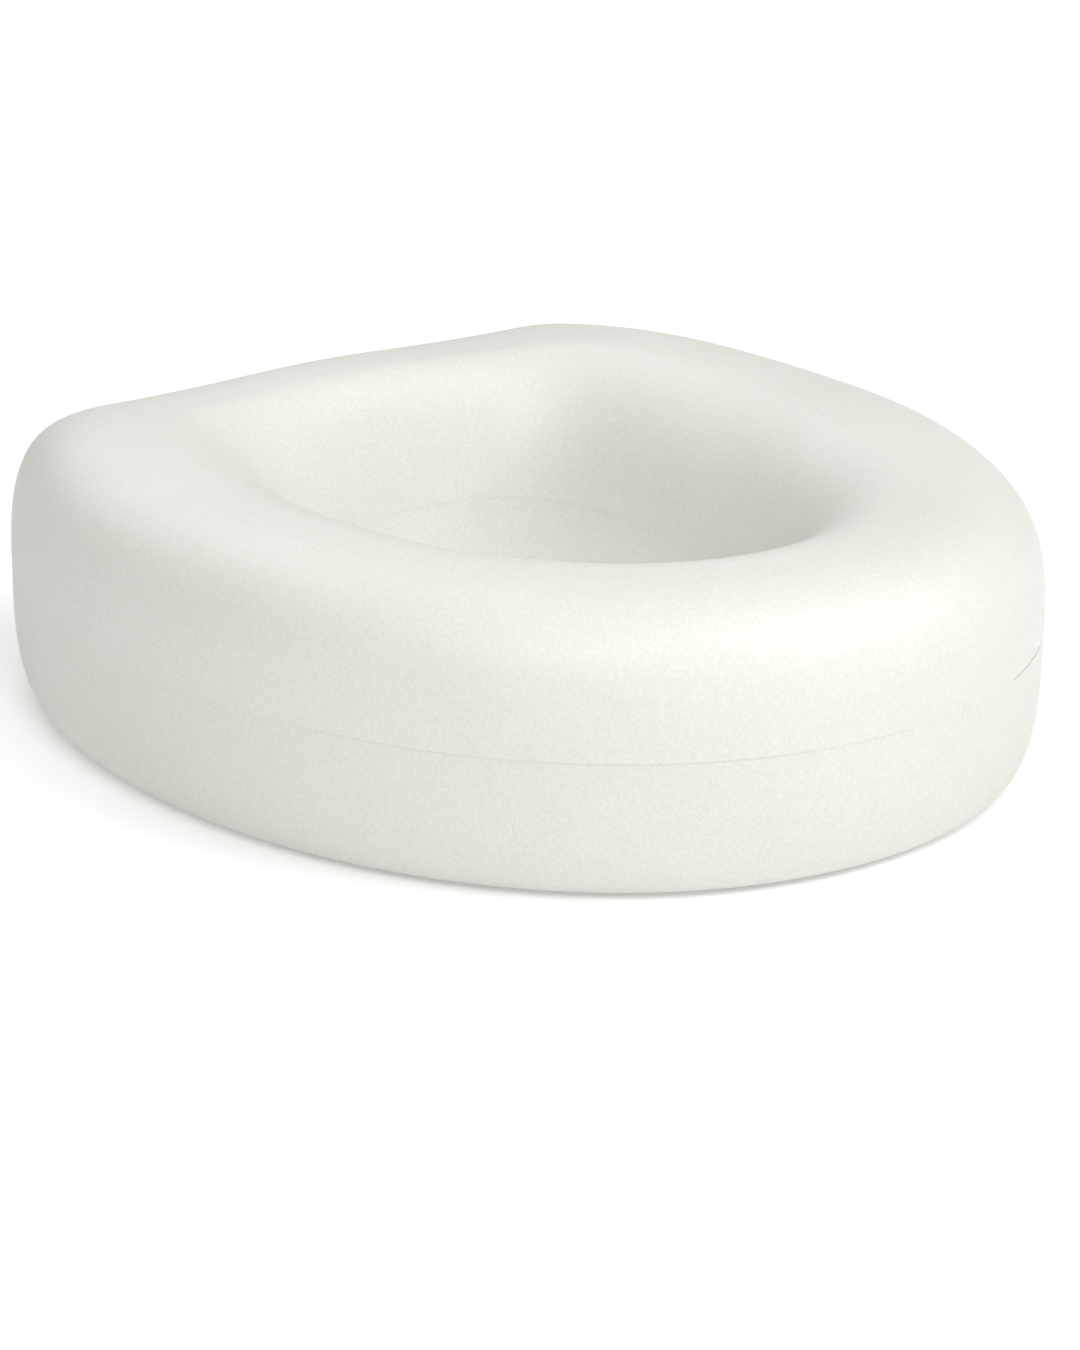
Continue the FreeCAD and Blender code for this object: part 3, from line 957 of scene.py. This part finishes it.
@dataclass
class WellLayout:
    """Where the screw wells are, in degrees from the front, and what shape they have."""

    angles: tuple[float, ...] = (0.0, 64.0, 94.0, 146.0, 180.0, -64.0, -94.0, -146.0)
    mouth: float = 12.5 * MM
    throat: float = 7.5 * MM
    wall: float = 2.5 * MM
    land: float = 3.0 * MM
    hole: float = 2.4 * MM
    ledge: float = 1.8 * MM
    recess: float = 2.0 * MM
    boss_radius: float = 6.5 * MM
    pilot_radius: float = 2.3 * MM
    pilot_depth: float = 22.0 * MM
    sides: int = 48

    def places(self, form: RingForm) -> list[Matrix]:
        """The frames of all wells."""
        return [form.foot_place(angle) for angle in self.angles]


@dataclass
class PadLayout:
    """Where the pads are, in degrees from the front, and the size of pads, pockets and studs."""

    angles: dict[str, float] = field(
        default_factory=lambda: {
            "front_right_pad": 32.0,
            "front_left_pad": -32.0,
            "rear_right_pad": 120.0,
            "rear_left_pad": -120.0,
        }
    )
    length: float = 58.0 * MM
    width: float = 24.0 * MM
    thickness: float = 4.0 * MM
    corner: float = 8.0 * MM
    clearance: float = 0.3 * MM
    pocket_wall: float = 3.0 * MM
    stud_pitch: float = 34.0 * MM
    stud_radius: float = 3.0 * MM
    corner_segments: int = 8

    def outline(self, name: str, bottom: float, top: float, border: float) -> Object:
        """A block with the pad's plan, wider by a border all round, from one level to another."""
        reach = Vector((self.length / 2.0 + border, self.width / 2.0 + border, 0.0))
        return block(name, UP * bottom - reach, UP * top + reach, self.corner, self.corner_segments)

    def places(self, form: RingForm) -> list[Matrix]:
        """The frames of all pads."""
        return [form.foot_place(angle) for angle in self.angles.values()]

    def stud_places(self) -> list[Matrix]:
        """The two studs of a pad, in its own frame."""
        return [Matrix.Translation((side * self.stud_pitch / 2.0, 0.0, 0.0)) for side in (-1.0, 1.0)]


# ---------------------------------------------------------------------------------------------------
# Sub-assemblies


@dataclass
class UpperMoulding:
    """The contoured seat: a hollow shell with a rebated lip, screw bosses and ribs."""

    form: RingForm
    wells: WellLayout
    rebate_height: float = 4.2 * MM
    lip_radius: float = 0.06 * MM
    open_angle: float = 54.0
    open_from: float = 168.0 * MM
    open_run: float = 28.0 * MM
    open_rise: float = 1.7 * MM
    rib_thickness: float = 2.5 * MM
    rib_corner: float = 0.625 * MM
    rib_foot: float = 80.0 * MM
    rib_root: float = 5.85 * MM
    rib_reach: float = 50.0 * MM

    def outer_gap(self, station: Station) -> float:
        """How far the outer lip stands above the parting plane: it opens at the front right.

        Args:
            station: where on the outline.

        Returns:
            The height of the gap.
        """
        a = math.radians(self.open_angle)
        along = station.point.dot(Vector((math.sin(a), -math.cos(a), 0.0)))
        return self.form.seam_gap + self.open_rise * max(0.0, (along - self.open_from) / self.open_run)

    def section(self, i: int) -> list[Vector]:
        """The closed section at a station: skin, inner lip, rebate, hollow and outer lip.

        Args:
            i: the station's number.

        Returns:
            The points of the section.
        """
        form = self.form
        outer, inner = form.outer[i], form.inner[i]
        skin, hollow = form.over_seat(i, 0.0), form.over_seat(i, form.wall)
        rebate = form.parting + self.rebate_height
        outer_lip, inner_lip = form.parting + self.outer_gap(outer), form.parting + form.seam_gap
        points = [outer.point + UP * outer_lip] + skin[1:-1] + [inner.point + UP * inner_lip]
        points += [inner.inset(form.land) + UP * inner_lip, inner.inset(form.land) + UP * rebate]
        points += [inner.inset(form.wall) + UP * rebate]
        points += [p for p in hollow[::-1] if p.z > rebate + form.land]
        points += [outer.inset(form.wall) + UP * rebate]
        return points + [outer.inset(form.land) + UP * rebate, outer.inset(form.land) + UP * outer_lip]

    def core(self) -> Object:
        """A solid whose skin runs half way through the wall, to trim bosses and ribs with."""
        depth = self.form.wall / 2.0
        return swept("core", [self.form.over_seat(i, depth) for i in range(len(self.form.outer))])

    def bosses(self) -> Object:
        """The screw bosses and the ribs beside them, up to the middle of the roof.

        Returns:
            The bosses and ribs, as one object.
        """
        wells, form = self.wells, self.form
        boss_profile = [(wells.boss_radius, form.parting), (wells.boss_radius, form.height)]
        boss = turned("boss", boss_profile, wells.sides)
        pilot_top = form.parting + wells.pilot_depth
        pilot_profile = [(wells.pilot_radius, 0.0), (wells.pilot_radius, pilot_top)]
        combine_solids(boss, turned("pilot", pilot_profile, wells.sides), "DIFFERENCE")
        for side in (-1.0, 1.0):
            near, far = sorted((side * self.rib_root, side * self.rib_reach))
            low = Vector((-self.rib_thickness / 2.0, near, self.rib_foot))
            high = Vector((self.rib_thickness / 2.0, far, form.height))
            combine_solids(boss, block("rib", low, high, self.rib_corner), "UNION")
        bosses = joined(copies(boss, wells.places(form)))
        combine_solids(bosses, self.core(), "INTERSECT")
        return bosses

    def build(self) -> Object:
        """Make the moulding.

        Returns:
            The piece.
        """
        shell = swept("seat_moulding", [self.section(i) for i in range(len(self.form.outer))])
        soften(shell, self.lip_radius, LIP_SEGMENTS)
        combine_solids(shell, self.bosses(), "UNION")
        smooth(shell)
        return shell

    def dress(self, workshop: Workshop) -> None:
        """Build the piece, give it its finish and put it in place of its CAD node."""
        workshop.hand_over(self.build(), "seat_shell", Finish.SEAT)


@dataclass
class LowerMoulding:
    """The underside: a trough with a tongue on each lip, screw wells, pad pockets and a vent hole."""

    form: RingForm
    wells: WellLayout
    pads: PadLayout
    vent_hole: float = 4.3 * MM
    vent_recess_radius: float = 7.3 * MM
    vent_recess: float = 1.5 * MM
    tongue_height: float = 3.2 * MM
    tongue_clearance: float = 0.3 * MM
    lip_radius: float = 0.06 * MM
    floor_rows: int = 6
    past: float = 1.0 * MM

    def section(self, i: int) -> list[Vector]:
        """The closed section at a station: outer wall, underside, opening, tongues and trough.

        Args:
            i: the station's number.

        Returns:
            The points of the section.
        """
        form = self.form
        outer, inner = form.outer[i], form.inner[i]
        outside = form.down_wall(outer, form.foot_inset, form.foot_power, 0.0)
        inside = form.down_wall(inner, form.lip_inset, form.lip_power, 0.0)[::-1]
        trough_out = form.down_wall(outer, form.foot_inset, form.foot_power, form.wall)[::-1]
        trough_in = form.down_wall(inner, form.lip_inset, form.lip_power, form.wall)
        under = [outside[-1].lerp(inside[0], k / self.floor_rows) for k in range(1, self.floor_rows)]
        over = [trough_in[-1].lerp(trough_out[0], k / self.floor_rows) for k in range(1, self.floor_rows)]
        points = outside + under + inside + self.tongue(inner)
        return points + trough_in[1:] + over + trough_out[:-1] + self.tongue(outer)[::-1]

    def tongue(self, station: Station) -> list[Vector]:
        """The tongue on a lip, from its foot on the land over its top to the wall of the trough.

        Args:
            station: where on the outline.

        Returns:
            Its three corners.
        """
        near = station.inset(self.form.land + self.tongue_clearance)
        far = station.inset(self.form.wall + self.form.seam_step)
        foot, top = self.form.parting, self.form.parting + self.tongue_height
        return [near + UP * foot, near + UP * top, far + UP * top]

    def well_walls(self) -> Object:
        """The tapered posts that the wells are bored in.

        Returns:
            The posts, as one object.
        """
        form, wells = self.form, self.wells
        low, high = wells.mouth + wells.wall, wells.throat + wells.wall
        profile = [(low, form.foot_level + self.past), (high, form.parting)]
        return joined(copies(turned("well_wall", profile, wells.sides), wells.places(form)))

    def pocket_roofs(self) -> Object:
        """The raised blocks over the pad pockets.

        Returns:
            The blocks, as one object.
        """
        pads = self.pads
        top = pads.thickness + pads.pocket_wall
        border = pads.clearance + pads.pocket_wall
        roof = pads.outline("pocket_roof", self.form.foot_level + self.past, top, border)
        return joined(copies(roof, pads.places(self.form)))

    def well_rooms(self) -> Object:
        """The space of the wells: a recess for the cap, a long taper and the screw's hole.

        Returns:
            The spaces, as one object.
        """
        form, wells = self.form, self.wells
        ledge = wells.mouth + wells.ledge
        floor = form.foot_level + wells.recess
        roof = form.parting - wells.land
        profile = [(ledge, 0.0), (ledge, floor), (wells.mouth, floor), (wells.throat, roof)]
        profile += [(wells.hole, roof), (wells.hole, form.parting + self.past)]
        return joined(copies(turned("well_room", profile, wells.sides), wells.places(form)))

    def pad_rooms(self) -> Object:
        """The pad pockets and the holes for the studs.

        Returns:
            The spaces, as one object.
        """
        pads = self.pads
        pocket = pads.outline("pocket", -self.past, pads.thickness, pads.clearance)
        top = pads.thickness + pads.pocket_wall + self.past
        radius = pads.stud_radius + pads.clearance
        stud_hole = turned("stud_hole", [(radius, 0.0), (radius, top)], self.wells.sides)
        combine_solids(pocket, joined(copies(stud_hole, pads.stud_places())), "UNION")
        return joined(copies(pocket, pads.places(self.form)))

    def vent_room(self) -> Object:
        """The hole and the shallow recess of the vent plug.

        Returns:
            The space of both.
        """
        form = self.form
        face, roof = form.foot_level + self.vent_recess, form.foot_level + form.wall + self.past
        profile = [(self.vent_recess_radius, 0.0), (self.vent_recess_radius, face)]
        profile += [(self.vent_hole, face), (self.vent_hole, roof)]
        return copies(turned("vent_room", profile, self.wells.sides), [form.foot_place(VENT_ANGLE)])[0]

    def build(self) -> Object:
        """Make the moulding.

        Returns:
            The piece.
        """
        shell = swept("base_moulding", [self.section(i) for i in range(len(self.form.outer))])
        soften(shell, self.lip_radius, LIP_SEGMENTS)
        for added in (self.well_walls(), self.pocket_roofs()):
            combine_solids(shell, added, "UNION")
        for room in (self.well_rooms(), self.pad_rooms(), self.vent_room()):
            combine_solids(shell, room, "DIFFERENCE")
        smooth(shell)
        return shell

    def dress(self, workshop: Workshop) -> None:
        """Build the piece, give it its finish and put it in place of its CAD node."""
        workshop.hand_over(self.build(), "base_shell", Finish.BASE)


@dataclass
class WellCaps:
    """The caps that close the wells: a dished face, a softened rim, a skirt and a notch."""

    form: RingForm
    wells: WellLayout
    clearance: float = 0.3 * MM
    set_in: float = 0.3 * MM
    edge: float = 0.4 * MM
    chamfer: float = 0.12 * MM
    dish: float = 0.5 * MM
    dish_floor: float = 8.0 * MM
    dish_radius: float = 9.0 * MM
    skirt_height: float = 5.0 * MM
    skirt_wall: float = 1.4 * MM
    notch: float = 3.0 * MM

    def taper(self, height: float) -> float:
        """Radius of a well.

        Args:
            height: how far above the floor.

        Returns:
            The radius there.
        """
        roof = self.form.parting - self.wells.land - self.form.foot_level
        share = (height - self.form.foot_level) / roof
        return self.wells.mouth + (self.wells.throat - self.wells.mouth) * share

    def build(self) -> list[Object]:
        """Make the caps.

        Returns:
            The pieces.
        """
        face = self.form.foot_level + self.set_in
        ledge = self.form.foot_level + self.wells.recess
        top = ledge + self.skirt_height
        flange = self.wells.mouth + self.wells.ledge - self.clearance
        low, high = self.taper(ledge) - self.clearance, self.taper(top) - self.clearance
        profile = [(self.dish_floor, face + self.dish), (self.dish_radius, face)]
        profile += [(flange - self.edge, face), (flange - self.chamfer, face + self.chamfer)]
        profile += [(flange, face + self.edge), (flange, ledge), (low, ledge), (high, top)]
        profile += [(high - self.skirt_wall, top), (low - self.skirt_wall, ledge)]
        cap = turned("well_cap", profile, self.wells.sides)
        inner, outer = flange - self.wells.ledge / 2.0, flange + self.wells.ledge
        low_corner = Vector((-self.notch / 2.0, inner, 0.0))
        high_corner = Vector((self.notch / 2.0, outer, self.form.foot_level + self.wells.recess / 2.0))
        combine_solids(cap, block("notch", low_corner, high_corner, self.edge), "DIFFERENCE")
        smooth(cap)
        return copies(cap, self.wells.places(self.form))

    def dress(self, workshop: Workshop) -> None:
        """Build the caps, give them their finish and put them in place of their CAD node.

        Args:
            workshop: where its finish comes from.
        """
        for i, cap in enumerate(self.build(), 1):
            cap.name = f"well_cap_{i}"
            workshop.hand_over(cap, "well_caps", Finish.CAP)


@dataclass
class GripPads:
    """Rubber pads with a grooved sole, held by two barbed studs each."""

    form: RingForm
    pads: PadLayout
    edge: float = 0.6 * MM
    grooves: int = 8
    groove_radius: float = 0.9 * MM
    groove_depth: float = 0.7 * MM
    groove_sides: int = 16
    barb_radius: float = 4.6 * MM
    barb_height: float = 3.4 * MM
    tip_radius: float = 2.2 * MM
    stud_sides: int = 32

    def sole_cutters(self) -> Object:
        """Round bars laid across the sole, one to a groove.

        Returns:
            The bars, as one object.
        """
        across = Matrix.Rotation(math.pi / 2.0, 4, "X")
        reach = self.pads.width
        profile = [(self.groove_radius, -reach), (self.groove_radius, reach)]
        bar = turned("bar", profile, self.groove_sides)
        places = []
        for i in range(self.grooves):
            x = self.pads.length * ((i + 1.0) / (self.grooves + 1.0) - 0.5)
            places.append(Matrix.Translation((x, 0.0, self.groove_depth - self.groove_radius)) @ across)
        return joined(copies(bar, places))

    def studs(self) -> Object:
        """The two barbed studs.

        Returns:
            The studs, as one object.
        """
        pads = self.pads
        neck = pads.thickness + pads.pocket_wall
        tip = neck + self.barb_height
        profile = [(pads.stud_radius, pads.thickness / 2.0), (pads.stud_radius, neck)]
        profile += [(self.barb_radius, neck), (self.tip_radius, tip)]
        return joined(copies(turned("stud", profile, self.stud_sides), pads.stud_places()))

    def build(self) -> list[Object]:
        """Make the pads.

        Returns:
            The pieces, in the order of the layout.
        """
        pad = self.pads.outline("pad", 0.0, self.pads.thickness, 0.0)
        soften(pad, self.edge, EDGE_SEGMENTS)
        combine_solids(pad, self.sole_cutters(), "DIFFERENCE")
        combine_solids(pad, self.studs(), "UNION")
        smooth(pad)
        return copies(pad, self.pads.places(self.form))

    def dress(self, workshop: Workshop) -> None:
        """Build the pads, give them their finish and put them in place of their CAD nodes.

        Args:
            workshop: where its finish comes from.
        """
        for node, pad in zip(self.pads.angles, self.build()):
            pad.name = node + "_rubber"
            workshop.hand_over(pad, node, Finish.PAD)


@dataclass
class VentPlug:
    """The barbed plug that the hollow ring breathes through."""

    form: RingForm
    radius: float = 4.0 * MM
    flange: float = 7.0 * MM
    recess: float = 1.5 * MM
    set_in: float = 0.2 * MM
    edge: float = 0.4 * MM
    barb_radius: float = 4.8 * MM
    barb_height: float = 3.0 * MM
    tip_radius: float = 3.0 * MM
    bore: float = 0.8 * MM
    bore_mouth: float = 1.6 * MM
    bore_rim: float = 2.4 * MM
    sides: int = 40

    def build(self) -> Object:
        """Make the plug.

        Returns:
            The piece.
        """
        face, ledge = self.form.foot_level + self.set_in, self.form.foot_level + self.recess
        roof = self.form.foot_level + self.form.wall
        profile = [(self.bore_mouth, face + self.edge), (self.bore_rim, face)]
        profile += [(self.flange - self.edge, face), (self.flange, face + self.edge)]
        profile += [(self.flange, ledge), (self.radius, ledge), (self.radius, roof)]
        profile += [(self.barb_radius, roof), (self.tip_radius, roof + self.barb_height)]
        plug = turned("vent_plug_rubber", profile, self.sides)
        bore = turned("bore", [(self.bore, 0.0), (self.bore, roof + 2.0 * self.barb_height)], self.sides)
        combine_solids(plug, bore, "DIFFERENCE")
        smooth(plug)
        return copies(plug, [self.form.foot_place(VENT_ANGLE)])[0]

    def dress(self, workshop: Workshop) -> None:
        """Build the plug, give it its finish and put it in place of its CAD node.

        Args:
            workshop: where its finish comes from.
        """
        plug = self.build()
        plug.name = "vent_plug_rubber"
        workshop.hand_over(plug, "vent_plug", Finish.VENT)


@dataclass
class CarriedNodes:
    """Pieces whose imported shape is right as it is, and that only get a finish."""

    finishes: dict[str, Finish] = field(
        default_factory=lambda: {
            "outer_joint_seal": Finish.SEAL,
            "inner_joint_seal": Finish.SEAL,
            "assembly_screws": Finish.SCREW,
        }
    )

    def dress(self, workshop: Workshop) -> None:
        """Give each node its finish.

        Args:
            workshop: where the materials come from.
        """
        for name, finish in self.finishes.items():
            workshop.dress(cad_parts[name], finish)
            log.info("%s carried over in %s", name, finish.value.name)


# ---------------------------------------------------------------------------------------------------
# Studio


@dataclass(frozen=True)
class SoftLight:
    """A large square light that faces the seat. Angles are in degrees and power is in watts."""

    name: str
    azimuth: float
    elevation: float
    power: float
    size: float = 1.8
    distance: float = 2.6
    colour: tuple[float, float, float] = (0.98, 0.99, 1.0)


@dataclass
class Studio:
    """A pale floor, soft light from all round and the camera.

    Angles are in degrees: an azimuth is measured from -Y towards +X, an elevation from the floor.
    """

    azimuth: float = -36.48
    elevation: float = 19.69
    roll: float = 0.71
    distance: float = 2.0709
    lens: float = 134.66
    sensor: float = 36.0
    aim: Vector = field(default_factory=lambda: Vector((0.0105, 0.0302, 0.0109)))
    floor_size: float = 80.0
    floor_colour: tuple[float, float, float] = (0.84, 0.84, 0.84)
    floor_roughness: float = 0.9
    inner_glow: float = 0.20
    near_glow: float = 0.24
    near_glow_reach: tuple[float, float] = (0.12, 0.20)
    far_glow: float = 0.25
    far_glow_reach: tuple[float, float] = (0.35, 1.5)
    edge_glow: float = 0.5
    edge_glow_reach: tuple[float, float] = (1.5, 5.0)
    sky_colour: tuple[float, float, float] = (1.0, 0.985, 0.96)
    sky_strength: float = 0.21
    lights: tuple[SoftLight, ...] = (
        SoftLight("left_light", -36.0, 45.0, 35.0),
        SoftLight("right_light", 40.0, 45.0, 35.0),
        SoftLight("back_light", 170.0, 40.0, 16.0),
        SoftLight("top_light", 0.0, 88.0, 12.0),
    )

    def direction(self, azimuth: float, elevation: float) -> Vector:
        """The unit vector from the seat towards a viewpoint."""
        a, e = math.radians(azimuth), math.radians(elevation)
        return Vector((math.sin(a) * math.cos(e), -math.cos(a) * math.cos(e), math.sin(e)))

    def build_camera(self) -> None:
        """Make the camera and set it as the scene's."""
        toward = self.direction(self.azimuth, self.elevation)
        bpy.ops.object.camera_add(location=self.aim + toward * self.distance)
        camera = bpy.context.object
        camera.name = "camera"
        round_z = Matrix.Rotation(math.radians(self.azimuth), 4, "Z")
        tilt = Matrix.Rotation(math.radians(90.0 - self.elevation), 4, "X")
        turn = round_z @ tilt @ Matrix.Rotation(math.radians(self.roll), 4, "Z")
        camera.rotation_euler = turn.to_euler()
        camera.data.lens = self.lens
        camera.data.sensor_width = self.sensor
        camera.data.clip_end = CAMERA_RANGE
        bpy.context.scene.camera = camera

    def floor_material(self) -> Material:
        """A matt white floor with painted light: it glows faintly, a little less under the opening and more
        further out, so that it looks like a lit backdrop and its shadows stay light.

        Returns:
            The material.
        """
        material, tree, shader = new_material("pale_floor")
        shader.inputs["Base Color"].default_value = (*self.floor_colour, 1.0)
        shader.inputs["Roughness"].default_value = self.floor_roughness
        shader.inputs["Specular IOR Level"].default_value = 0.0
        place = tree.nodes.new("ShaderNodeTexCoord")
        reach = tree.nodes.new("ShaderNodeVectorMath")
        reach.operation = "LENGTH"
        tree.links.new(place.outputs["Object"], reach.inputs[0])
        away = reach.outputs["Value"]
        # painted light: the floor's glow, weaker under the opening and stronger round the seat, further out
        # and at the edge
        near = ramp(tree, away, *self.near_glow_reach, (self.inner_glow, self.near_glow))
        far = ramp(tree, away, *self.far_glow_reach, (0.0, self.far_glow))
        edge = ramp(tree, away, *self.edge_glow_reach, (0.0, self.edge_glow))
        glow = combine(tree, "ADD", combine(tree, "ADD", near, far), edge)
        tree.links.new(glow, shader.inputs["Emission Color"])
        shader.inputs["Emission Strength"].default_value = 1.0
        return material

    def build_floor(self) -> None:
        """Make the floor, which isn't part of the object."""
        bpy.ops.mesh.primitive_plane_add(size=self.floor_size)
        floor = bpy.context.object
        floor.name = "floor"
        floor.data.materials.append(self.floor_material())

    def build_lights(self) -> None:
        """Make an even sky and the soft lights."""
        world = bpy.data.worlds.new("even_sky")
        world.use_nodes = True
        sky = world.node_tree.nodes["Background"]
        sky.inputs["Color"].default_value = (*self.sky_colour, 1.0)
        sky.inputs["Strength"].default_value = self.sky_strength
        bpy.context.scene.world = world
        for light in self.lights:
            toward = self.direction(light.azimuth, light.elevation)
            bpy.ops.object.light_add(type="AREA", location=self.aim + toward * light.distance)
            lamp = bpy.context.object
            lamp.name = light.name
            lamp.rotation_euler = toward.to_track_quat("Z", "Y").to_euler()
            lamp.data.size = light.size
            lamp.data.energy = light.power
            lamp.data.color = light.colour

    def build(self) -> None:
        """Make the whole studio."""
        self.build_camera()
        self.build_floor()
        self.build_lights()
        bpy.context.scene.view_settings.view_transform = "Standard"
        log.info("studio built")


def main() -> None:
    """Build the studio and every piece, in order."""
    logging.basicConfig(level=logging.INFO, format="%(name)s: %(message)s")
    bpy.ops.object.select_all(action="DESELECT")
    Studio().build()
    workshop = Workshop()
    form, wells, pads = RingForm(), WellLayout(), PadLayout()
    assemblies = [UpperMoulding(form, wells), LowerMoulding(form, wells, pads), WellCaps(form, wells)]
    assemblies += [GripPads(form, pads), VentPlug(form), CarriedNodes()]
    for assembly in assemblies:
        assembly.dress(workshop)


if __name__ == "__main__":
    main()
